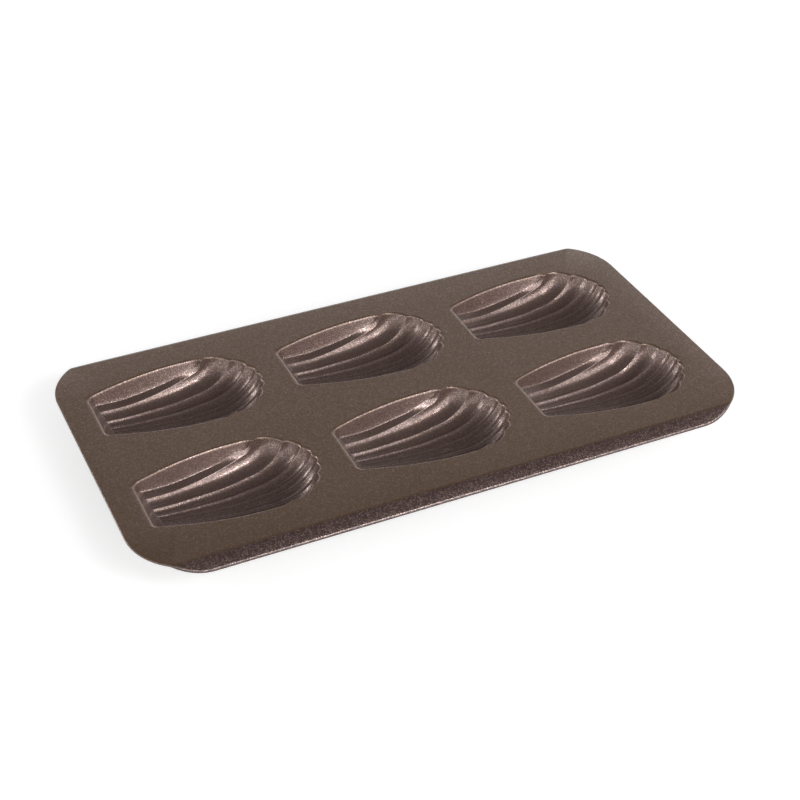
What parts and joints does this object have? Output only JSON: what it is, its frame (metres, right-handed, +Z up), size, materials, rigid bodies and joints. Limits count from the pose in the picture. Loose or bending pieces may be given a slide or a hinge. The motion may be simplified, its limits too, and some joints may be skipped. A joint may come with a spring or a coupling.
{
  "type": "madeleine pan",
  "caption": "Pressed steel baking pan for shell-shaped sponge cakes, with fluted hollows, folded long edges and a dark non-stick coat on both sides.",
  "frame": {"origin": "middle of the pan's outline, at the level of the lowest points of the shells that it stands on", "axes": "+X along the pan from the narrow end of the shells to their scalloped end, +Y across the pan, +Z up out of the shells"},
  "size_m": [0.3, 0.165, 0.0177],
  "materials": {
    "steel": "cold-rolled steel sheet, covered all over by the coats",
    "nonstick_top": "dark brown-grey non-stick coat with fine metallic flakes, satin",
    "nonstick_underside": "dark non-stick coat of the underside, satin"
  },
  "bodies": {
    "root": {"steel_sheet": "steel", "nonstick_top": "nonstick_top", "nonstick_underside": "nonstick_underside"}
  },
  "joints": []
}
